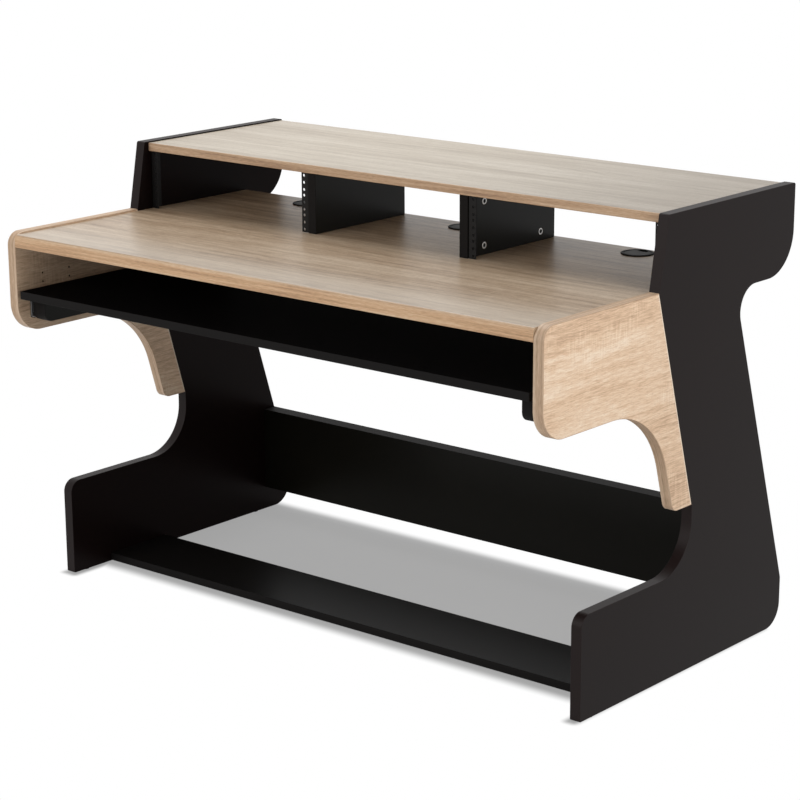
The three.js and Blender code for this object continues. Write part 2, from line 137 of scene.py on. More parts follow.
def rounded_outline(corners, step=ARC_STEP):
    """A closed outline through corners (u, v, radius), and its outward normals. A rounded corner is
    an arc that touches both sides: its centre lies on the bisector at radius / sin(half angle),
    and its normals point away from the centre where it bulges and towards it where it hollows.
    A sharp corner has no normal of its own, so it gets zeros."""
    spots = np.array([corner[:2] for corner in corners], float)
    after = np.roll(spots, -1, axis=0)
    turning = math.copysign(1.0, np.sum(spots[:, 0] * after[:, 1] - spots[:, 1] * after[:, 0]))
    points, normals = [], []
    earlier = np.roll(spots, 1, axis=0)
    for corner, before, ahead, (_, _, radius) in zip(spots, earlier, after, corners):
        if radius == 0:
            points.append(corner[None])
            normals.append(np.zeros((1, 2)))
            continue
        back, ahead = before - corner, ahead - corner
        back, ahead = back / np.linalg.norm(back), ahead / np.linalg.norm(ahead)
        half = math.acos(float(back @ ahead)) / 2
        middle = (back + ahead) / np.linalg.norm(back + ahead)
        centre = corner + middle * radius / math.sin(half)
        arm = corner + back * radius / math.tan(half) - centre
        turn = math.pi - 2 * half
        sense = 1.0 if ahead[0] * back[1] - ahead[1] * back[0] > 0 else -1.0
        angles = sense * np.linspace(0, turn, max(FEW_POINTS, math.ceil(turn / step) + 1))
        cos, sin = np.cos(angles), np.sin(angles)
        arc = np.stack([arm[0] * cos - arm[1] * sin, arm[0] * sin + arm[1] * cos], axis=1)
        points.append(centre + arc)
        normals.append(sense * turning * arc / radius)
    return np.concatenate(points), np.concatenate(normals)


def mitres(outline):
    """The way each point of a closed outline moves when all sides move outwards by one: the sum
    of both sides' unit normals, divided by one plus their dot product."""
    ahead = np.roll(outline, -1, axis=0) - outline
    turning = np.sum(outline[:, 0] * ahead[:, 1] - outline[:, 1] * ahead[:, 0])
    ahead /= np.linalg.norm(ahead, axis=1, keepdims=True)
    normal = np.stack([ahead[:, 1], -ahead[:, 0]], axis=1) * math.copysign(1.0, turning)
    before = np.roll(normal, 1, axis=0)
    return (normal + before) / (1 + np.sum(normal * before, axis=1, keepdims=True))


def circle(radius, count):
    angles = np.linspace(0, 2 * math.pi, count, endpoint=False)
    return radius * np.stack([np.cos(angles), np.sin(angles)], axis=1)


def lengths(outline):
    """The length along a closed outline at each point, and at the first point again."""
    side = np.linalg.norm(np.roll(outline, -1, axis=0) - outline, axis=1)
    return np.concatenate([[0.0], np.cumsum(side)])


# Solids


def volume(points, quads, caps):
    """The signed volume inside quads and caps: a sixth of the triple product of each triangle."""
    total = 0.0
    for b, c in ((1, 2), (2, 3)):
        cross = np.cross(points[quads[:, b]], points[quads[:, c]])
        total += np.sum(points[quads[:, 0]] * cross)
    for cap in caps:
        ring = points[cap]
        total += np.sum(np.cross(ring[1:-1], ring[2:]) @ ring[0])
    return total / 6


def area_vector(ring):
    """Half the sum of the cross products of a face's neighbouring corners."""
    return np.sum(np.cross(ring, np.roll(ring, -1, axis=0)), axis=0) / 2


def split_by_holes(outline, rims, first, last):
    """A counterclockwise outline with holes as two faces that share a cut. The cut runs from the
    outline's point first through the holes to its point last, and enters and leaves each hole at
    the rim's point nearest to where it comes from and goes to. Faces are lists of (ring, point),
    where ring 0 is the outline and the others are the rims."""
    middles = [outline[first], *[rim.mean(axis=0) for rim in rims], outline[last]]
    clockwise, counter = [], []
    for i, rim in enumerate(rims):
        enter = int(np.argmin(np.linalg.norm(rim - middles[i], axis=1)))
        leave = int(np.argmin(np.linalg.norm(rim - middles[i + 2], axis=1)))
        count = len(rim)
        clockwise += [(i + 1, (enter - k) % count) for k in range((enter - leave) % count + 1)]
        counter += [(i + 1, (enter + k) % count) for k in range((leave - enter) % count + 1)]
    count = len(outline)
    onward = [(0, (last + k) % count) for k in range((first - last) % count)]
    inward = [(0, (first + k) % count) for k in range((last - first) % count + 1)]
    return [(0, first), *clockwise, *onward], [*inward, *counter[::-1]]


class Solid:
    """A closed form in layout millimetres: rings of points joined by quads, with a flat face over
    each end, or with the last ring joined to the first. A corner is shaded with its own normal
    where that lies near the quad's, and with the quad's elsewhere. looks holds each face's place
    in the piece's finishes, uvs each corner's lengths along the ring and across the rings."""

    SHADED_TOGETHER = math.cos(math.radians(32))
    FACES_ALONG = 0.98
    NO_AREA = 1e-12
    PLANES = {X: [Y, Z], Y: [Z, X], Z: [X, Y]}

    def __init__(self, rings, normals, along, across, closed=False):
        rows, columns = rings.shape[:2]
        index = np.arange(rows * columns).reshape(rows, columns)
        low, high = (index, np.roll(index, -1, axis=0)) if closed else (index[:-1], index[1:])
        quads = np.stack([low, np.roll(low, -1, 1), np.roll(high, -1, 1), high], -1).reshape(-1, 4)
        caps = [] if closed else [index[0, ::-1].tolist(), index[-1].tolist()]
        start, end = np.meshgrid(across[:-1], along[:-1], indexing="ij")
        stop, finish = np.meshgrid(across[1:], along[1:], indexing="ij")
        u = np.stack([end, finish, finish, end], -1).reshape(-1, 4)
        v = np.stack([start, start, stop, stop], -1).reshape(-1, 4)
        uvs = np.stack([u, v], -1) * MM
        self.points = rings.reshape(-1, 3)
        if volume(self.points, quads, caps) < 0:
            quads, uvs, caps = quads[:, ::-1], uvs[:, ::-1], [cap[::-1] for cap in caps]
        corner = self.points[quads]
        across_quad = np.cross(corner[:, 2] - corner[:, 0], corner[:, 3] - corner[:, 1])
        size = np.linalg.norm(across_quad, axis=1, keepdims=True)
        flat = across_quad / np.maximum(size, self.NO_AREA)
        own = normals.reshape(-1, 3)[quads]
        near = np.sum(own * flat[:, None], axis=-1, keepdims=True) > self.SHADED_TOGETHER
        self.faces = quads.tolist()
        self.uvs = list(uvs)
        self.normals = list(np.where(near, own, flat[:, None]))
        self.looks = [EDGE] * len(self.faces)
        for cap in caps:
            self.add_face(cap, FACE)

    def add_points(self, points):
        start = len(self.points)
        self.points = np.concatenate([self.points, points])
        return list(range(start, len(self.points)))

    def add_face(self, corners, look):
        way = area_vector(self.points[corners])
        self.faces.append(list(corners))
        self.uvs.append(np.zeros((len(corners), 2)))
        self.normals.append(np.tile(way / np.linalg.norm(way), (len(corners), 1)))
        self.looks.append(look)

    def face_toward(self, axis, sign):
        """The largest face that faces along an axis."""
        sizes = [sign * area_vector(self.points[face])[axis] for face in self.faces]
        return int(np.argmax(sizes))

    def look_by(self, axis):
        """Gives the faces along an axis the faces' finish, and the others the edges'."""
        for i, face in enumerate(self.faces):
            way = area_vector(self.points[face])
            along = abs(way[axis]) > self.FACES_ALONG * np.linalg.norm(way)
            self.looks[i] = FACE if along else EDGE

    def cut_face(self, axis, sign, middles, rim, ends=None):
        """Opens holes in the largest face along an axis, each the rim moved to a middle (x, y, z).
        Returns the rims' points, counterclockwise round the axis."""
        at = self.face_toward(axis, sign)
        face, look = self.faces[at], self.looks[at]
        face = face if sign > 0 else face[::-1]
        plane = self.PLANES[axis]
        level = self.points[face[0], axis]
        rims = []
        for middle in middles:
            ring = np.empty((len(rim), 3))
            ring[:, plane] = rim + np.array(middle)[plane]
            ring[:, axis] = level
            rims.append(self.add_points(ring))
        outline = self.points[face][:, plane]
        centres = np.array(middles)[:, plane]
        ends = centres[[0, -1]] if ends is None else np.array(ends)
        first, last = [int(np.argmin(np.linalg.norm(outline - end, axis=1))) for end in ends]
        flat_rims = [self.points[ring][:, plane] for ring in rims]
        for store in (self.faces, self.uvs, self.normals, self.looks):
            store.pop(at)
        for part in split_by_holes(outline, flat_rims, first, last):
            corners = [([face] + rims)[ring][point] for ring, point in part]
            self.add_face(corners if sign > 0 else corners[::-1], look)
        return rims

    def tube(self, high, low):
        """The wall of a hole between its rim further along the axis and the other one."""
        for a, b, c, d in zip(high, high[1:] + high[:1], low[1:] + low[:1], low):
            self.add_face([a, b, c, d], BORE)

    def blind_holes(self, axis, sign, middles, rim, depth, ends=None):
        for rim_points in self.cut_face(axis, sign, middles, rim, ends):
            deep = self.points[rim_points].copy()
            deep[:, axis] -= sign * depth
            floor_points = self.add_points(deep)
            high, low = (rim_points, floor_points) if sign > 0 else (floor_points, rim_points)
            self.tube(high, low)
            self.add_face(floor_points if sign > 0 else floor_points[::-1], BORE)

    def through_holes(self, axis, middles, rim, ends=None):
        high = self.cut_face(axis, 1, middles, rim, ends)
        low = self.cut_face(axis, -1, middles, rim, ends)
        for pair in zip(high, low):
            self.tube(*pair)


# Which of an outline's two directions and the thickness lies along x, y and z: an outline seen
# from the side, in plan, and from the front
UPRIGHT, LYING, LENGTHWISE = (2, 0, 1), (0, 1, 2), (0, 2, 1)


def board(outline, near, far, ease, place, points=EDGE_POINTS):
    """A board cut to an outline, thick from near to far and placed along x, y and z. Its edge is a
    quarter circle of radius ease, a flat, and another quarter circle: at angle a a point lies
    ease * (1 - sin a) inside the outline and ease * (1 - cos a) from the face, and its normal is
    the outline's times sin a less the face's way in times cos a."""
    shape, outwards = outline
    turns = np.linspace(0, math.pi / 2, points)
    sin, cos = np.sin(turns), np.cos(turns)
    spread = np.concatenate([sin, sin[::-1]])
    inset = ease * (1 - spread)
    way = math.copysign(1.0, far - near)
    depth = np.concatenate([near + way * ease * (1 - cos), far - way * ease * (1 - cos[::-1])])
    tilt = way * np.concatenate([-cos, cos[::-1]])
    ring = shape[None] - inset[:, None, None] * mitres(shape)[None]
    filled = [ring[..., 0], ring[..., 1], np.broadcast_to(depth[:, None], ring.shape[:2])]
    rounded = outwards.any(axis=1)
    leaning = spread[:, None, None] * outwards[None]
    facing = [leaning[..., 0], leaning[..., 1], tilt[:, None] * rounded[None]]
    across = np.concatenate([[0.0], np.cumsum(np.hypot(np.diff(depth), np.diff(inset)))])
    rings, normals = (np.stack([parts[i] for i in place], -1) for parts in (filled, facing))
    return Solid(rings, normals, lengths(shape), across)


def turned(profile, normals, centre, axis, count, closed=True):
    """A profile (radius, height) turned about an axis: a point at angle t lies radius * (cos t,
    sin t) beside the centre and height along the axis."""
    a, b = Solid.PLANES[axis]
    spin = circle(1.0, count)
    rings, facing = np.empty((2, len(profile), count, 3))
    for grid, line in ((rings, profile), (facing, normals)):
        grid[..., a] = line[:, :1] * spin[:, 0]
        grid[..., b] = line[:, :1] * spin[:, 1]
        grid[..., axis] = line[:, 1:]
    across = lengths(profile)
    across = across if closed else across[:-1]
    along = lengths(circle(profile[:, 0].max(), count))
    return Solid(rings + np.array(centre), facing, along, across, closed)


def make(name, solids, look, *nodes, body="desk_frame"):
    """One piece from solids, riding on a body and standing for CAD nodes. look starts with a slot's
    name, which is not used, and then names its finishes, the last of which is also for the looks past
    it."""
    slot, *finishes = look
    start, points, faces = 0, [], []
    for solid in solids:
        points.append(solid.points)
        faces += [[start + corner for corner in face] for face in solid.faces]
        start += len(solid.points)
    mesh = bpy.data.meshes.new(name)
    mesh.from_pydata(row(np.concatenate(points)).tolist(), [], faces)
    mesh.polygons.foreach_set("use_smooth", np.ones(len(faces), bool))
    for finish in finishes:
        mesh.materials.append(FINISHES[finish])
    looks = np.concatenate([solid.looks for solid in solids])
    looks = np.minimum(looks, len(finishes) - 1).astype(np.int32)
    mesh.polygons.foreach_set("material_index", looks)
    uvs = np.concatenate([uv for solid in solids for uv in solid.uvs])
    mesh.uv_layers.new(name="band").data.foreach_set("uv", uvs.astype(np.float32).ravel())
    normals = np.concatenate([normal for solid in solids for normal in solid.normals])
    mesh.normals_split_custom_set(normals.tolist())
    piece = bpy.data.objects.new(name, mesh)
    bpy.context.scene.collection.objects.link(piece)
    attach(piece, body)
    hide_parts(*nodes)


# Finishes


class Wire:
    """One output in a tree of nodes. Arithmetic on it adds Math nodes."""

    def __init__(self, nodes, socket):
        self.nodes, self.socket = nodes, socket

    def maths(self, operation, *others):
        values = dict(enumerate((self, *others)))
        return self.nodes.node("ShaderNodeMath", values, operation=operation)

    def __add__(self, other):
        return self.maths("ADD", other)

    __radd__ = __add__

    def __sub__(self, other):
        return self.maths("SUBTRACT", other)

    def __rsub__(self, other):
        return self.nodes.node("ShaderNodeMath", {0: other, 1: self}, operation="SUBTRACT")

    def __mul__(self, other):
        return self.maths("MULTIPLY", other)

    def __truediv__(self, other):
        return self.maths("DIVIDE", other)

    def __pow__(self, other):
        return self.maths("POWER", other)

    def larger(self, other):
        return self.maths("MAXIMUM", other)

    def smaller(self, other):
        return self.maths("MINIMUM", other)

    def clamp(self):
        return self.nodes.node("ShaderNodeClamp", {"Value": self})

    def ease(self, low, high):
        """From nought to one as the value goes from low to high, eased at both ends."""
        values = {"Value": self, "From Min": low, "From Max": high}
        return self.nodes.node("ShaderNodeMapRange", values, interpolation_type="SMOOTHSTEP")


class Nodes:
    """A tree of shader nodes."""

    def __init__(self, tree):
        self.tree = tree

    def join(self, socket, value):
        if isinstance(value, Wire):
            self.tree.links.new(value.socket, socket)
        else:
            socket.default_value = value

    def node(self, kind, values, output=0, **settings):
        """One output of a new shader node with values on its inputs, and its own settings."""
        made = self.tree.nodes.new(kind)
        for name, value in settings.items():
            setattr(made, name, value)
        for name, value in values.items():
            self.join(made.inputs[name], value)
        return Wire(self, made.outputs[output])

    def showing(self):
        """One on the rays that show the floor and the room as white paper, nought on the others."""
        rays = [self.node("ShaderNodeLightPath", {}, output=ray) for ray in SHOWING_RAYS]
        return rays[0].larger(rays[1]).larger(rays[2])


class Finish(Nodes):
    """A material whose Principled shader is fed by wires."""

    def __init__(self, name, **sockets):
        self.material = bpy.data.materials.new(name)
        self.material.use_nodes = True
        super().__init__(self.material.node_tree)
        self.tree.nodes.clear()
        self.surface = self.tree.nodes.new("ShaderNodeOutputMaterial").inputs["Surface"]
        self.shader = self.tree.nodes.new("ShaderNodeBsdfPrincipled")
        self.join(self.surface, Wire(self, self.shader.outputs[0]))
        self.set(**sockets)

    def set(self, **sockets):
        for name, value in sockets.items():
            self.join(self.shader.inputs[name.replace("_", " ")], value)

    def place(self):
        """The point on the piece, in the frame's metres."""
        return self.node("ShaderNodeTexCoord", {}, output="Object")

    def band(self):
        """The point on a board's banded edge: metres along it and across it."""
        return self.node("ShaderNodeUVMap", {}, uv_map="band")

    def parts(self, vector):
        return [self.node("ShaderNodeSeparateXYZ", {0: vector}, output=axis) for axis in (X, Y, Z)]

    def moved(self, vector, way, amount):
        """A point moved along a way by a varying amount."""
        step = self.node("ShaderNodeVectorMath", {0: way, "Scale": amount}, operation="SCALE")
        return self.node("ShaderNodeVectorMath", {0: vector, 1: step}, operation="ADD")

    def noise(self, point, scale, detail, roughness, distortion=0.0, shift=(0.0, 0.0, 0.0)):
        """Noise of a point that is shifted first, and then scaled along each axis."""
        shifted = self.node("ShaderNodeVectorMath", {0: point, 1: shift}, operation="ADD")
        scaled = self.node("ShaderNodeVectorMath", {0: shifted, 1: scale}, operation="MULTIPLY")
        values = {"Vector": scaled, "Scale": 1.0, "Detail": detail, "Roughness": roughness}
        return self.node("ShaderNodeTexNoise", values | {"Distortion": distortion})

    def three_tones(self, tone, tones):
        """The colour at a tone: dark at 0, middle at 0.5, light at 1."""
        made = self.tree.nodes.new("ShaderNodeValToRGB")
        elements = made.color_ramp.elements
        elements.new(0.5)
        for element, position, colour in zip(elements, (0.0, 0.5, 1.0), tones):
            element.position, element.color = position, (*colour, 1.0)
        self.join(made.inputs["Fac"], tone)
        return Wire(self, made.outputs[0])

    def blend(self, share, a, b, mode="MIX"):
        """Two colours mixed by the second one's share."""
        made = self.tree.nodes.new("ShaderNodeMix")
        made.data_type, made.blend_type = "RGBA", mode
        self.join(made.inputs[0], share)
        colour_inputs = [socket for socket in made.inputs if socket.type == "RGBA"]
        for socket, value in zip(colour_inputs, (a, b)):
            self.join(socket, value if isinstance(value, Wire) else (*value, 1.0))
        return Wire(self, next(socket for socket in made.outputs if socket.type == "RGBA"))

    def mixed(self, share, first, second):
        """Two shaders mixed by the second one's share."""
        return self.node("ShaderNodeMixShader", {0: share, 1: first, 2: second})

    def bump(self, height, strength, distance):
        values = {"Height": height, "Strength": strength, "Distance": distance}
        self.set(Normal=self.node("ShaderNodeBump", values))


def srgb(code):
    """The linear colour of a hex code. A channel c above 0.04045 gives ((c + 0.055) / 1.055) to the
    power 2.4, and one below gives c / 12.92."""
    channels = [int(code[i : i + 2], 16) / 255 for i in (0, 2, 4)]
    return tuple(c / 12.92 if c <= 0.04045 else ((c + 0.055) / 1.055) ** 2.4 for c in channels)


def tones_of(*codes):
    return [srgb(code) for code in codes]


# The axis along the grain, and the one across it on the faces that show
GRAIN_AXES = {"x": (X, Y), "y": (Y, Z)}
# Each noise in the oak: scale along the grain and across it, detail, roughness and distortion
OAK_NOISES = {
    "curl": (6.0, 10.0, 2.0, 0.5, 0.0),
    "broad": (0.8, 14.0, 3.0, 0.55, 0.2),
    "band": (2.2, 52.0, 3.0, 0.55, 0.1),
    "streak": (9.0, 170.0, 3.0, 0.62, 0.0),
    "dash": (34.0, 560.0, 2.0, 0.62, 0.0),
    "pores": (110.0, 1000.0, 1.0, 0.5, 0.0),
    "bend": (1.1, 5.0, 2.0, 0.4, 0.3),
    "arches": (1.7, 8.0, 1.0, 0.5, 0.0),
    "patch": (6.0, 9.0, 1.0, 0.5, 0.0),
    "comb": (300.0, 22.0, 1.0, 0.6, 0.0),
}
# The values between which a noise, or the growth lines' sine, is eased from nought to one
PORE_RANGE, CREST_RANGE, ARCH_RANGE = (0.56, 0.7), (0.1, 1.0), (0.46, 0.6)
PATCH_RANGE, COMB_RANGE = (0.5, 0.62), (0.42, 0.66)
# How far the grain waves, in metres
CURL = 0.010
# Growth lines: how close they lie, how far the slow noise bends them, and how rough they are
GROWTH_CLOSE, GROWTH_BEND, GROWTH_ROUGH = 560.0, 110.0, 3.0
# Moves the saw marks to the upper middle of the right cheek
SAW_SHIFT = (0.0, -0.110, 0.044)
MIDDLE_TONE, MARKS_LIGHTEN, ARCHES_DARKEN, PORE_SHARE = 0.52, 0.28, 0.22, 0.4
OAK_ROUGHNESS, DASH_ROUGHNESS, PORE_ROUGHNESS = 0.3, 0.12, 0.12
DASH_RISE, PORE_RISE, MARK_RISE = 0.5, -0.6, 0.35
# Strength and height in metres of the oak's bumps
OAK_BUMP = (0.2, 0.0003)
# How much the broad tone, long streaks, short streaks and dashes of each board count
TOP_WEIGHTS, SHELF_WEIGHTS = (1.5, 1.5, 1.0, 1.5), (1.1, 1.1, 0.8, 1.0)
CHEEK_WEIGHTS = (1.1, 1.2, 0.8, 1.6)

# Oak edges: scale, detail, roughness and distortion of the streaks and the fibres
EDGE_STREAKS = ((3.0, 130.0, 1.0), 3.0, 0.6, 0.15)
EDGE_FIBRES = ((60.0, 720.0, 1.0), 2.0, 0.6, 0.0)
STREAK_WEIGHT, FIBRE_WEIGHT = 1.9, 1.1
EDGE_SHEEN, EDGE_ROUGHNESS, FIBRE_ROUGHNESS = 0.35, 0.4, 0.15
# Share of the worktop's front edge on which its face tones go over into the band's
WRAP_SHARE = 0.34
# Where the dark glue line starts and ends, in widths from the edge's middle, and its share
GLUE_LINE, GLUE_SHARE = (0.45, 0.49), 0.25

# Painted light and shade on a board: where it lies, in metres, by what share, and with which tone
# Painted light towards the worktop's front edge
FRONT_LIGHT_RANGE, FRONT_LIGHT_SHARE, FRONT_LIGHT_TONE = (-0.25, -0.40), 0.36, srgb("e6dccd")
# Painted shade towards the shelf's ends
END_SHADE_RIGHT, END_SHADE_LEFT, END_SHADE_SHARE_LEFT, END_SHADE_TONE = (0.1, 0.75), (-0.3, -0.75), 0.37, srgb("dcd9d7")
# The same for the cheek's painted highlight along its joint, by the distance from the joint
JOINT_HIGHLIGHT_RANGE, JOINT_HIGHLIGHT_SHARE, JOINT_HIGHLIGHT_TONE = (0.0045, 0.0022), 0.85, srgb("f4e8d8")

# Each oak finish's tones, dark to light
TOP_TONES = tones_of("8c725a", "b59d82", "cdb9a1")
# The shelf's tones are greyer and paler than the worktop's: partly the oak's own tone, partly painted
# sheen
SHELF_TONES = tones_of("a59580", "c3b6a2", "d6cbbb")
CHEEK_TONES = tones_of("ba9a7e", "dfc0a1", "f0dcc5")
BAND_TONES = tones_of("b68e6c", "dcb38b", "f0d1ad")
SHELF_BAND_TONES = tones_of("9a7b64", "c9a888", "e4caad")
CHEEK_BAND_TONES = tones_of("a18269", "cdae90", "e4cbb0")


def oak(name, tones, grain, shift, weights, saw, sheen, painted_light):
    """Oak-effect laminate. Each place is first moved across the grain by a slow noise, so that the
    grain waves. Broad tone, two kinds of streaks, dashes and pores are noises stretched along the
    grain at finer and finer scale, and weights mix the first four. Growth lines are crests of a
    sine of the place across the grain plus a slow noise, which bends them into arches. Saw marks
    are light stripes across the grain, in patches. The last argument gives the share, tone and way
    of mixing of the painted light and shade on the board."""
    finish = Finish(name, Specular_IOR_Level=sheen)
    lengthways, crossways = GRAIN_AXES[grain]
    way = tuple(float(axis == crossways) for axis in (X, Y, Z))

    def layer(kind, point, more=(0.0, 0.0, 0.0)):
        along, across, *rest = OAK_NOISES[kind]
        scale = [across] * 3
        scale[lengthways] = along
        return finish.noise(point, scale, *rest, tuple(a + b for a, b in zip(shift, more)))

    spot = finish.place()
    bent = finish.moved(spot, way, (layer("curl", spot) - 0.5) * CURL)
    broad, band, streak, dash = [layer(kind, bent) for kind in ("broad", "band", "streak", "dash")]
    pores = layer("pores", bent).ease(*PORE_RANGE)
    across = finish.parts(bent)[crossways]
    growth = across * GROWTH_CLOSE + layer("bend", spot) * GROWTH_BEND + streak * GROWTH_ROUGH
    arches = growth.maths("SINE").ease(*CREST_RANGE) * layer("arches", spot).ease(*ARCH_RANGE)
    patch = layer("patch", spot, SAW_SHIFT).ease(*PATCH_RANGE)
    marks = patch * layer("comb", spot).ease(*COMB_RANGE) * saw
    tone = marks * MARKS_LIGHTEN - arches * ARCHES_DARKEN + MIDDLE_TONE
    for noise, weight in zip((broad, band, streak, dash), weights):
        tone = tone + (noise - 0.5) * weight
    colour = finish.blend(pores * PORE_SHARE, finish.three_tones(tone, tones), tones[0])
    # The board's painted light and shade, mixed in by place
    share, mixed_in, mode = painted_light(finish, spot)
    roughness = OAK_ROUGHNESS + dash * DASH_ROUGHNESS + pores * PORE_ROUGHNESS
    finish.set(Base_Color=finish.blend(share, colour, mixed_in, mode), Roughness=roughness)
    finish.bump(dash * DASH_RISE + pores * PORE_RISE + marks * MARK_RISE, *OAK_BUMP)
    return finish.material


def painted_front_light(finish, spot):
    """Painted light: the worktop is paler towards its front edge, as where more light falls on it."""
    return finish.parts(spot)[Y].ease(*FRONT_LIGHT_RANGE) * FRONT_LIGHT_SHARE, FRONT_LIGHT_TONE, "MIX"


def painted_end_shade(finish, spot):
    """Painted shade: the shelf is darker towards its ends, the right one most, where less light
    falls.
    """
    wide = finish.parts(spot)[X]
    return wide.ease(*END_SHADE_RIGHT) + wide.ease(*END_SHADE_LEFT) * END_SHADE_SHARE_LEFT, END_SHADE_TONE, "MULTIPLY"


def painted_joint_highlight(finish, spot):
    """Painted highlight: the cheek is bright along its slanted joint, as a lit bevel is, by the
    distance from the joint's line.
    """
    (top_y, top_z, _), (foot_y, foot_z, _) = CHEEK[:2]
    _, deep, high = finish.parts(spot)
    run = math.hypot(foot_y - top_y, top_z - foot_z)
    ahead, up = (foot_z - top_z) / run, (top_y - foot_y) / run
    away = (deep - (top_y - HALF_DEPTH) * MM) * ahead + (high - top_z * MM) * up
    return away.ease(*JOINT_HIGHLIGHT_RANGE) * JOINT_HIGHLIGHT_SHARE, JOINT_HIGHLIGHT_TONE, "MIX"


def oak_edge(name, tones, shift, start, width, wrap):
    """Oak-effect edge: streaks and fibres along the band, which spans width from start across its
    UV, in millimetres. Tones in wrap go over into the band's where the face wraps over the edge.
    Elsewhere a darker glue line runs along both rims."""
    finish = Finish(name, Specular_IOR_Level=EDGE_SHEEN)
    spot = finish.band()
    streak = finish.noise(spot, *EDGE_STREAKS, shift)
    fibre = finish.noise(spot, *EDGE_FIBRES, shift)
    place = (finish.parts(spot)[Y] - start * MM) / (width * MM)
    tone = (streak - 0.5) * STREAK_WEIGHT + (fibre - 0.5) * FIBRE_WEIGHT + 0.5
    colour = finish.three_tones(tone, tones)
    if wrap:
        colour = finish.blend(place.ease(0.0, WRAP_SHARE), finish.three_tones(tone, wrap), colour)
    else:
        rim = (place - 0.5).maths("ABSOLUTE").ease(*GLUE_LINE)
        colour = finish.blend(rim * GLUE_SHARE, colour, tones[0])
    finish.set(Base_Color=colour, Roughness=EDGE_ROUGHNESS + fibre * FIBRE_ROUGHNESS)
    finish.bump(fibre, *OAK_BUMP)
    return finish.material


# Scale, detail and roughness of a surface's fine and broad noise, their shares in the colour, what
# its roughness loses and their shares in it, and the bump's strength and height in metres
PEARLY = {
    "noises": (((900.0, 900.0, 900.0), 2.0, 0.6), ((5.0, 5.0, 5.0), 3.0, 0.55)),
    "colour": (0.6, 0.5),
    "roughness": (0.06, 0.1, 0.06),
    "bump": (0.15, 0.0003),
}
BRUSHED = {
    "noises": (((700.0, 90.0, 700.0), 3.0, 0.6), ((40.0, 40.0, 40.0), 3.0, 0.6)),
    "colour": (0.5, 0.5),
    "roughness": (0.08, 0.0, 0.16),
    "bump": (0.1, 0.0002),
}


def even_finish(name, surface, dark, light, roughness, specular=0.5, metallic=0.0):
    """Laminate with a fine pearl and hand wear, or steel, paint, plastic or bare board with fine
    brushing and clouds. Both noises vary the colour and the roughness, the fine one is the bump."""
    finish = Finish(name, Metallic=metallic, Specular_IOR_Level=specular)
    spot = finish.place()
    fine, broad = [finish.noise(spot, *noise) for noise in surface["noises"]]
    fine_share, broad_share = surface["colour"]
    shade = (fine * fine_share + broad * broad_share).clamp()
    less, fine_share, broad_share = surface["roughness"]
    varied = roughness - less + fine * fine_share + broad * broad_share
    finish.set(Base_Color=finish.blend(shade, srgb(dark), srgb(light)), Roughness=varied)
    finish.bump(fine, *surface["bump"])
    return finish.material


# Tones, grain, where in the noise the board is cut, weights, strength of saw marks, sheen, and the
# painted light and shade mixed in
OAK_FACES = {
    "oak_worktop": (TOP_TONES, "x", (0.31, 0.12, 0.07), TOP_WEIGHTS, 0.5, 0.6, painted_front_light),
    "oak_shelf": (SHELF_TONES, "x", (4.2, 1.7, 0.4), SHELF_WEIGHTS, 0.5, 0.75, painted_end_shade),
    "oak_cheek_left": (CHEEK_TONES, "y", (-2.3, 0.9, 5.1), CHEEK_WEIGHTS, 0.9, 0.25, painted_joint_highlight),
    "oak_cheek_right": (CHEEK_TONES, "y", (2.3, 0.9, 5.1), CHEEK_WEIGHTS, 0.9, 0.25, painted_joint_highlight),
}
# Tones, where in the noise the band is cut, start and width of the edge, tones that wrap over it
OAK_EDGES = {
    "oak_worktop_band": (BAND_TONES, (0.4, 0.1, 0.0), 763.0, 40.0, TOP_TONES),
    "oak_shelf_band": (SHELF_BAND_TONES, (3.1, 0.7, 0.0), 470.0, 40.0, None),
    "oak_cheek_band": (CHEEK_BAND_TONES, (1.7, 0.3, 0.0), 0.0, PANEL, None),
}
# Surface, dark and light tone, roughness, specular level and metallic share
EVEN_FINISHES = {
    "black_board": (PEARLY, "0d0c09", "171510", 0.28, 0.11),
    # The left panel's copy has a lower specular level than the right's, to show the shade on the left
    # panel: painted shade
    "black_panel_left": (PEARLY, "110b0a", "180f0e", 0.3, 0.035),
    "black_panel_right": (PEARLY, "110b0a", "180f0e", 0.3, 0.075),
    "black_panel_band": (PEARLY, "160f0e", "221817", 0.42, 0.12),
    # The foot board's and the tray's copies reflect less than the other boards', and the tray's is
    # darker, to show the shade under the desk: painted shade
    "black_foot_board": (PEARLY, "0d0c0b", "161413", 0.3, 0.05),
    "black_tray": (PEARLY, "0b0a0a", "131111", 0.4, 0.0003),
    "black_band": (PEARLY, "100e0e", "1a1817", 0.6, 0.08),
    "bare_bore": (BRUSHED, "6f5c48", "8c7860", 0.9),
    "rail_paint": (BRUSHED, "0e0d0d", "171616", 0.5, 0.16),
    "slide_zinc": (BRUSHED, "a9abae", "cfd0d2", 0.42, 0.5, 0.7),
    "slide_black": (BRUSHED, "1a1a1b", "2a2a2b", 0.42, 0.3, 0.3),
    "cam_zinc": (BRUSHED, "dededd", "f4f4f2", 0.4, 0.5, 0.6),
    # Painted shade: a darker copy of the cam zinc for the locks' recessed dishes
    "cam_socket": (BRUSHED, "2e2e2d", "4a4a48", 0.5, 0.3, 0.3),
    "ring_plastic": (BRUSHED, "070707", "0e0e0e", 0.5, 0.04),
    "cap_plastic": (BRUSHED, "121211", "1b1a19", 0.5, 0.1),
}
FINISHES = {
    name: build(name, *values)
    for build, table in ((oak, OAK_FACES), (oak_edge, OAK_EDGES), (even_finish, EVEN_FINISHES))
    for name, values in table.items()
}

# Pieces

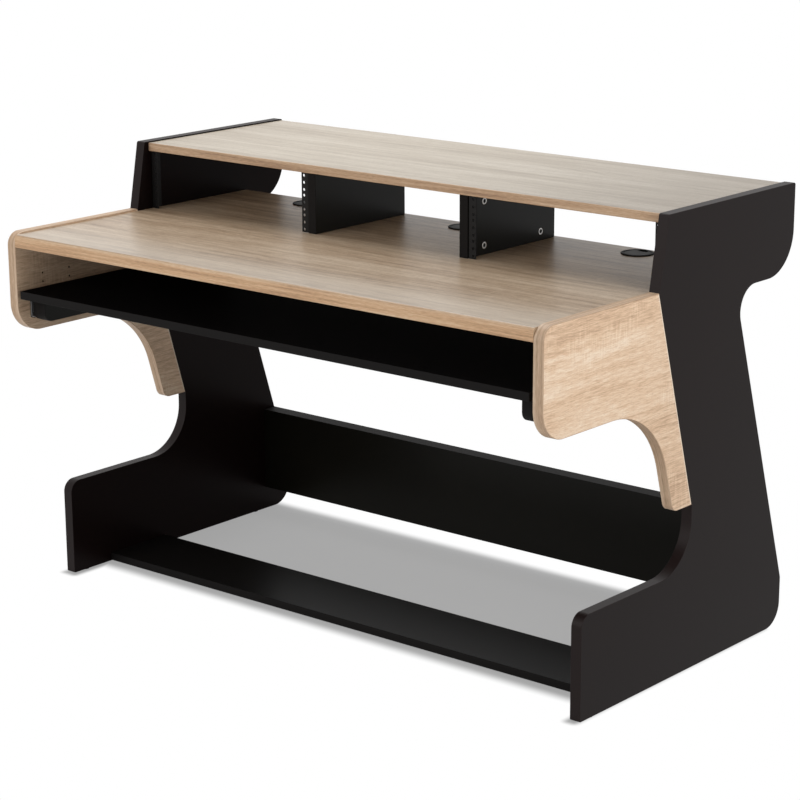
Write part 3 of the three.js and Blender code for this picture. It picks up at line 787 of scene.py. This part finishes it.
# Slot, and finishes of the faces, the edges and the holes
OAK_TOP = ("oak_laminate", "oak_worktop", "oak_worktop_band", "bare_bore")
OAK_SHELF = ("oak_laminate", "oak_shelf", "oak_shelf_band", "bare_bore")
BLACK = ("black_laminate", "black_board", "black_band", "bare_bore")
BLACK_FOOT = ("black_laminate", "black_foot_board", *BLACK[2:])
BLACK_TRAY = ("black_laminate", "black_tray", *BLACK[2:])
RAIL_PAINT, CAM_ZINC = ("rail_paint", "rail_paint"), ("cam_zinc", "cam_zinc", "cam_socket")
ZINC_SLIDE, BLACK_SLIDE = ("slide_steel", "slide_zinc"), ("slide_steel", "slide_black")
RING_PLASTIC, CAP_PLASTIC = ("black_plastic", "ring_plastic"), ("grey_plastic", "cap_plastic")


def rectangle(low, high, radii):
    """The rounded outline of a box's side, seen across the desk, from its rear foot round over the
    top to its front foot. radii are those of the rear foot, rear top, front top and front foot."""
    corners = [(high[Y], low[Z]), (high[Y], high[Z]), (low[Y], high[Z]), (low[Y], low[Z])]
    rounded = [(*corner, radius) for corner, radius in zip(corners, radii)]
    return rounded_outline(rounded, SMALL_STEP)


def cam_names(board_name, *spots):
    return [f"cam_{board_name}_{spot}" for spot in spots]


def round_corners(first, second):
    """A board's corners, from the first on the left round to the first on the right."""
    return [f"left_{first}", f"left_{second}", f"right_{second}", f"right_{first}"]


def middles_of(nodes):
    return [np.mean(layout_box(node), axis=0) for node in nodes]


def lock_holes(solid, axis, sign, nodes, ends=None):
    """Bores for cam locks, named in the order in which the face is cut along them."""
    rim = circle(LOCK_BORE, BORE_SIDES)
    solid.blind_holes(axis, sign, middles_of(nodes), rim, LOCK_BORE_DEEP, ends)


def side_boards():
    for side, sign in SIDES.items():
        inner, outer = sign * INNER, sign * (INNER + PANEL)
        panel = board(rounded_outline(SIDE_PANEL), inner, outer, PANEL_EASE, UPRIGHT)
        look = ("black_laminate", f"black_panel_{side}", "black_panel_band")
        make(f"panel_{side}", [panel], look, f"side_panel_{side}")
        cheek = board(rounded_outline(CHEEK), inner, outer, CHEEK_EASE, UPRIGHT)
        middles = [(inner, y, z) for y, z in PILOTS]
        cheek.blind_holes(X, -sign, middles, circle(PILOT_RADIUS, PILOT_SIDES), PILOT_DEEP)
        look = ("oak_laminate", f"oak_cheek_{side}", "oak_cheek_band", "bare_bore")
        make(f"bracket_{side}", [cheek], look, f"cheek_{side}")


def cross_board(node, radii, faced=Z):
    """A board from panel to panel, faced along one axis and banded on its other sides."""
    low, high = layout_box(node)
    solid = board(rectangle(low, high, radii), low[X], high[X], END_EASE, UPRIGHT, FEW_POINTS)
    solid.look_by(faced)
    solid.uvs = [uv[:, ::-1] for uv in solid.uvs]
    return solid


def worktop_board():
    top = cross_board("worktop", (WORKTOP_UNDER, WORKTOP_UNDER, WORKTOP_NOSE, WORKTOP_UNDER))
    grommets = middles_of(f"grommet_ring_{bay}" for bay in BAYS)
    front_corners = [(-INNER, 0.0), (INNER, 0.0)]
    top.through_holes(Z, grommets, circle(GROMMET_BORE, ROUND_SIDES), front_corners)
    for side, sign in SIDES.items():
        end = [(sign * INNER, 0.0), (sign * INNER, WORKTOP_DEEP)]
        lock_holes(top, Z, -1, cam_names("worktop", f"{side}_front", f"{side}_rear"), end)
    make("work_surface", [top], OAK_TOP, "worktop")


def other_boards():
    shelf = cross_board("top_shelf", (SHELF_ROUND,) * 4)
    lock_holes(shelf, Z, -1, cam_names("shelf", *round_corners("front", "rear")))
    make("upper_shelf", [shelf], OAK_SHELF, "top_shelf")
    rear = cross_board("rear_panel", (BOARD_EASE,) * 4, Y)
    lock_holes(rear, Y, 1, cam_names("rear_panel", *round_corners("lower", "upper")))
    make("back_board", [rear], BLACK, "rear_panel")
    foot = cross_board("foot_board", (BOARD_EASE,) * 4)
    lock_holes(foot, Z, -1, cam_names("foot_board", *SIDES))
    make("toe_board", [foot], BLACK_FOOT, "foot_board")
    tray = cross_board("keyboard_tray", (TRAY_ROUND,) * 4)
    make("tray_board", [tray], BLACK_TRAY, "keyboard_tray", body="tray")


def uprights():
    """The dividers and the tray's runners, with the cam locks' holes in one face."""
    for side, sign in SIDES.items():
        node = f"divider_{side}"
        low, high = layout_box(node)
        outline = rectangle(low, high, (DIVIDER_ROUND,) * 4)
        divider = board(outline, low[X], high[X], DIVIDER_EASE, UPRIGHT)
        spots = ("front_lower", "front_upper", "rear_upper", "rear_lower")
        lock_holes(divider, X, sign, cam_names(node, *spots))
        make(f"bay_wall_{side}", [divider], BLACK, node)
        node = f"tray_runner_{side}"
        low, high = layout_box(node)
        outline = rectangle(low, high, (RUNNER_ROUND, RUNNER_ROUND, RUNNER_ROUND, RUNNER_NOSE))
        runner = board(outline, low[X], high[X], BOARD_EASE, UPRIGHT)
        lock_holes(runner, X, -sign, cam_names(f"runner_{side}", "front", "rear"))
        make(f"runner_{side}", [runner], BLACK, node, body="tray")


def rails():
    """Angle-steel rails, bent along one edge, with the rack standard's holes in the flange."""
    for node in (f"rack_rail_{place}_{side}" for place in ("inner", "outer") for side in SIDES):
        low, high = layout_box(node)
        front, rear = low[Y], high[Y]
        sign = 1 if node.endswith("left") == ("outer" in node) else -1
        wall, tip = (low[X], high[X]) if sign > 0 else (high[X], low[X])
        inner = wall + sign * STEEL
        angle = rounded_outline([
            (wall, front, RAIL_BEND), (tip, front, RAIL_TIP), (tip, front + STEEL, RAIL_TIP),
            (inner, front + STEEL, RAIL_INNER_BEND), (inner, rear, RAIL_TIP), (wall, rear, RAIL_TIP),
        ], SMALL_STEP)
        rail = board(angle, low[Z], high[Z], RAIL_EASE, LYING, FEW_POINTS)
        rises = [low[Z] + unit * UNIT + FIRST_HOLE + hole * HOLE_PITCH
                 for unit in range(UNITS) for hole in range(HOLES_PER_UNIT)]
        across = wall + sign * (RAIL_HOLE_INSET - JOINT_GAP)
        middles = [(across, front, rise) for rise in rises]
        ends = [(rises[0] - FIRST_HOLE, tip), (rises[-1] + FIRST_HOLE, tip)]
        rail.through_holes(Y, middles, circle(RAIL_HOLE, HOLE_SIDES), ends)
        make(f"punched_{node}", [rail], RAIL_PAINT, node)


def slide_members():
    """Rolled steel channels that nest in each other, open towards the next member."""
    for side, sign in SIDES.items():
        bodies = {"outer": "desk_frame", "middle": f"slide_member_{side}", "inner": "tray"}
        for member, body in bodies.items():
            node = f"slide_{member}_{side}"
            low, high = layout_box(node)
            opens_in = member != "inner"
            web, tip = (low[X], high[X]) if (sign < 0) == opens_in else (high[X], low[X])
            inside = web + math.copysign(SLIDE_STEEL, tip - web)
            bottom, top = low[Z], high[Z]
            floor_side, roof_side = bottom + SLIDE_STEEL, top - SLIDE_STEEL
            bend = rounded_outline([
                (web, bottom, SLIDE_BEND), (tip, bottom, SLIDE_TIP), (tip, floor_side, SLIDE_TIP),
                (inside, floor_side, SLIDE_INNER_BEND), (inside, roof_side, SLIDE_INNER_BEND),
                (tip, roof_side, SLIDE_TIP), (tip, top, SLIDE_TIP), (web, top, SLIDE_BEND),
            ], SMALL_STEP)
            channel = board(bend, low[Y], high[Y], SLIDE_EASE, LENGTHWISE, FEW_POINTS)
            look = ZINC_SLIDE if member == "middle" else BLACK_SLIDE
            make(f"channel_{member}_{side}", [channel], look, node, body=body)


def notched_disc(radius, inner=None):
    """A disc with a notch at the rear, or with an inner radius the arc of a ring."""
    def arc(reach):
        gap = math.asin(CAP_NOTCH_HALF / reach)
        angles = np.linspace(math.pi / 2 + gap, 5 * math.pi / 2 - gap, ROUND_SIDES)
        ways = np.stack([np.cos(angles), np.sin(angles)], axis=1)
        return ways * reach, ways

    outer, outwards = arc(radius)
    if inner is None:
        tail = np.array([[CAP_NOTCH_HALF, CAP_NOTCH_REACH], [-CAP_NOTCH_HALF, CAP_NOTCH_REACH]])
        inwards = np.zeros((2, 2))
    else:
        tail, ways = (part[::-1] for part in arc(inner))
        inwards = -ways
        inwards[[0, -1]] = 0
    outwards[[0, -1]] = 0
    return np.concatenate([outer, tail]), np.concatenate([outwards, inwards])


def grommets():
    for bay in BAYS:
        node = f"grommet_ring_{bay}"
        middle = np.mean(layout_box(node), axis=0)
        middle[Z] = WORKTOP_TOP
        ring = turned(*rounded_outline(RING_PROFILE, SMALL_STEP), middle, Z, ROUND_SIDES)
        make(f"cable_ring_{bay}", [ring], RING_PLASTIC, node)
        cap = []
        for (outline, outwards), low, high, ease in (
            (notched_disc(CAP_RADIUS), CAP_BOTTOM, CAP_BOTTOM + CAP_THICK, CAP_EASE),
            (notched_disc(SKIRT_OUTER, SKIRT_INNER), CAP_BOTTOM - SKIRT_DEEP, CAP_BOTTOM, SKIRT_EASE),
        ):
            shape = (outline + middle[:Z], outwards)
            cap.append(board(shape, middle[Z] + low, middle[Z] + high, ease, LYING))
        make(f"cable_cap_{bay}", cap, CAP_PLASTIC, f"grommet_cap_{bay}", body=f"cap_{bay}")


def cross_rim():
    """A plus sign, counterclockwise: an arm's end and the corner after it, in four turns."""
    long, wide = CROSS_HALF_LONG, CROSS_HALF_WIDE
    arm = np.array([(long, -wide), (long, wide), (wide, wide)])
    return np.concatenate([arm, arm[:, ::-1] * (-1, 1), -arm, arm[:, ::-1] * (1, -1)])


def cam_lock(node, axis, sign, body):
    """A turned zinc lock whose dished face has a cross recess. The dish takes the second finish, a
    darker zinc that paints the recess's shade.
    """
    low, high = layout_box(node)
    middle = (low + high) / 2
    middle[axis] = (high if sign > 0 else low)[axis] + sign * LOCK_SUNK
    profile = np.array(LOCK_PROFILE) * (1, sign)
    rise = np.gradient(profile, axis=0)
    normals = np.stack([rise[:, 1], -rise[:, 0]], axis=1) * sign
    normals /= np.linalg.norm(normals, axis=1, keepdims=True)
    lock = turned(profile, normals, middle, axis, LOCK_SIDES, closed=False)
    plane = Solid.PLANES[axis]
    ends = [middle[plane] + (way * LOCK_BORE, 0.0) for way in (-1, 1)]
    lock.blind_holes(axis, sign, [middle], cross_rim(), CROSS_DEEP, ends)
    for i, face in enumerate(lock.faces):
        corners = lock.points[face] - middle
        height = np.mean(corners[:, axis]) * sign
        reach = np.max(np.linalg.norm(corners[:, plane], axis=1))
        in_dish = reach < DISH_REACH and DISH_BOTTOM < height < DISH_TOP
        lock.looks[i] = EDGE if in_dish else FACE
    make(node.replace("cam", "lock"), [lock], CAM_ZINC, node, body=body)


# The axis and the way that the locks of each board face
LOCK_WAYS = {
    "divider_left": (X, -1), "divider_right": (X, 1),
    "runner_left": (X, 1), "runner_right": (X, -1),
    "rear_panel": (Y, 1), "foot_board": (Z, -1), "shelf": (Z, -1), "worktop": (Z, -1),
}


def cam_locks():
    for node in sorted(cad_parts):
        for board_name, (axis, sign) in LOCK_WAYS.items():
            if node.startswith(f"cam_{board_name}"):
                cam_lock(node, axis, sign, "tray" if "runner" in node else "desk_frame")


def glides():
    for node in sorted(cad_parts):
        if node.startswith("glide"):
            low, high = layout_box(node)
            radius = (high[X] - low[X]) / 2
            profile = [(radius - inset, low[Z] + rise) for inset, rise in GLIDE_FOOT]
            profile = np.array([*profile, (radius, high[Z]), (radius - GLIDE_TOP_INSET, high[Z])])
            middle = (low + high) / 2 * (1, 1, 0)
            glide = turned(profile, np.zeros_like(profile), middle, Z, GLIDE_SIDES, closed=False)
            make(node.replace("glide", "foot"), [glide], RING_PLASTIC, node)


side_boards()
worktop_board()
other_boards()
uprights()
rails()
slide_members()
grommets()
cam_locks()
glides()

# Studio

CAMERA_PLACE = (3.3967, -4.0085, 1.8697)
CAMERA_AZIMUTH, CAMERA_ELEVATION, CAMERA_ROLL = 39.4963, 16.1322, -0.1395
LENS, SENSOR, FURTHEST = 110.8485, 36.0, 100.0
SHIFT = (-0.03, 0.07)
# Each lamp's place, aim, size, power in watts and colour
LAMPS = {
    "overhead": ((-0.9, 0.35, 2.7), (-0.1, 0.0, 0.8), (1.6, 1.4), 25.0, (1.0, 1.0, 1.0)),
    "front_box": ((-1.2, -3.6, 1.9), (0.0, -0.3, 0.75), (2.8, 2.1), 45.0, (1.0, 1.0, 1.0)),
    "right_box": ((2.2, -0.3, 1.2), (0.7, -0.1, 0.6), (1.6, 1.6), 20.0, (1.0, 0.985, 0.97)),
}
ROOM_STRENGTH = 0.28
# The rays that show the floor and the room as white paper
SHOWING_RAYS = ("Is Camera Ray", "Is Glossy Ray", "Is Transmission Ray")
FLOOR_HALF = 40.0
# The paper's level where it lights the desk, and where it is shown with the desk's shadow
PAPER_LEVEL, SHADOW_LEVEL = 0.8, 1.4
# Painted shadow under the desk: the even glowing grey mixed into the rendered shadow, and its share
PAINTED_SHADOW_GREY, PAINTED_SHADOW_SHARE = 0.392, 0.85
# Sides, then front and rear, of the floor that is shown shaded with the painted shadow, and how soon
# it is white outside
SHADE_WIDE, SHADE_DEEP, SHADE_FADE = (-0.735, 0.66), (-0.192, 0.388), 0.045
# The same for the painted contact shadow in strips under both side panels, from the outer side of one
# to that of the other
STRIP_LEFT, STRIP_RIGHT, STRIP_DEEP, STRIP_FADE = -0.743, 0.728, (-0.305, 0.388), 0.022


def link(name, data, place=None):
    holder = bpy.data.objects.new(name, data)
    if place is not None:
        holder.matrix_world = place
    bpy.context.scene.collection.objects.link(holder)
    return holder


def camera():
    data = bpy.data.cameras.new("camera")
    data.lens, data.sensor_width, data.sensor_fit = LENS, SENSOR, "HORIZONTAL"
    data.shift_x, data.shift_y = SHIFT
    data.clip_end = FURTHEST
    place = Matrix.Translation(CAMERA_PLACE)
    for degrees, axis in ((CAMERA_AZIMUTH, "Z"), (90 - CAMERA_ELEVATION, "X"), (CAMERA_ROLL, "Z")):
        place = place @ Matrix.Rotation(math.radians(degrees), 4, axis)
    bpy.context.scene.camera = link("camera", data, place)


def softbox(name, place, aim, size, power, colour):
    """A rectangular lamp at a place, facing its aim."""
    data = bpy.data.lights.new(name, "AREA")
    data.shape, data.size, data.size_y = "RECTANGLE", *size
    data.energy, data.color = power, colour
    turn = (Vector(place) - Vector(aim)).to_track_quat("Z", "Y").to_matrix().to_4x4()
    link(name, data, Matrix.Translation(place) @ turn)


def grey(level):
    return (level, level, level, 1.0)


def beyond(place, low, high):
    """How far a place lies below low or above high, and nought between them."""
    return (low - place).larger(place - high).larger(0.0)


def diagonal(a, b):
    return (a ** 2.0 + b ** 2.0) ** 0.5


def floor():
    """White studio paper: shaded under the desk, where an even painted shadow grey is mixed in, pure
    white further out, where a ray shows it.
    """
    corners = [(x * FLOOR_HALF, y * FLOOR_HALF, 0) for x, y in ((-1, -1), (1, -1), (1, 1), (-1, 1))]
    mesh = bpy.data.meshes.new("floor")
    mesh.from_pydata(corners, [], [(0, 1, 2, 3)])
    link("floor", mesh)
    paper = Finish("floor_paper")
    wide, deep, _ = paper.parts(paper.place())
    round_shade = diagonal(beyond(wide, *SHADE_WIDE), beyond(deep, *SHADE_DEEP))
    inner = INNER * MM
    beside = beyond(wide, STRIP_LEFT, -inner).smaller(beyond(wide, inner, STRIP_RIGHT))
    round_strips = diagonal(beside, beyond(deep, *STRIP_DEEP))
    far = round_shade.ease(0.0, SHADE_FADE).smaller(round_strips.ease(0.0, STRIP_FADE))
    lighting = paper.node("ShaderNodeBsdfDiffuse", {"Color": grey(PAPER_LEVEL)})
    shadow = paper.node("ShaderNodeBsdfDiffuse", {"Color": grey(SHADOW_LEVEL)})
    # Painted shadow: an even grey that glows, mixed into the shade under the desk
    even = paper.node("ShaderNodeEmission", {"Color": grey(PAINTED_SHADOW_GREY)})
    white = paper.node("ShaderNodeEmission", {"Color": grey(1.0)})
    shaded = paper.mixed(PAINTED_SHADOW_SHARE, shadow, even)
    shown = paper.mixed(far, shaded, white)
    paper.join(paper.surface, paper.mixed(paper.showing(), lighting, shown))
    mesh.materials.append(paper.material)


def surroundings():
    """A dim white room, shown as pure white by camera, glossy and transmission rays."""
    world = bpy.data.worlds.new("studio")
    bpy.context.scene.world = world
    world.use_nodes = True
    room = Nodes(world.node_tree)
    background = room.tree.nodes["Background"]
    dim_or_white = {"Value": room.showing(), "To Min": ROOM_STRENGTH}
    room.join(background.inputs["Color"], grey(1.0))
    room.join(background.inputs["Strength"], room.node("ShaderNodeMapRange", dim_or_white))


camera()
floor()
surroundings()
for name, settings in LAMPS.items():
    softbox(name, *settings)
bpy.context.scene.view_settings.view_transform = "Standard"
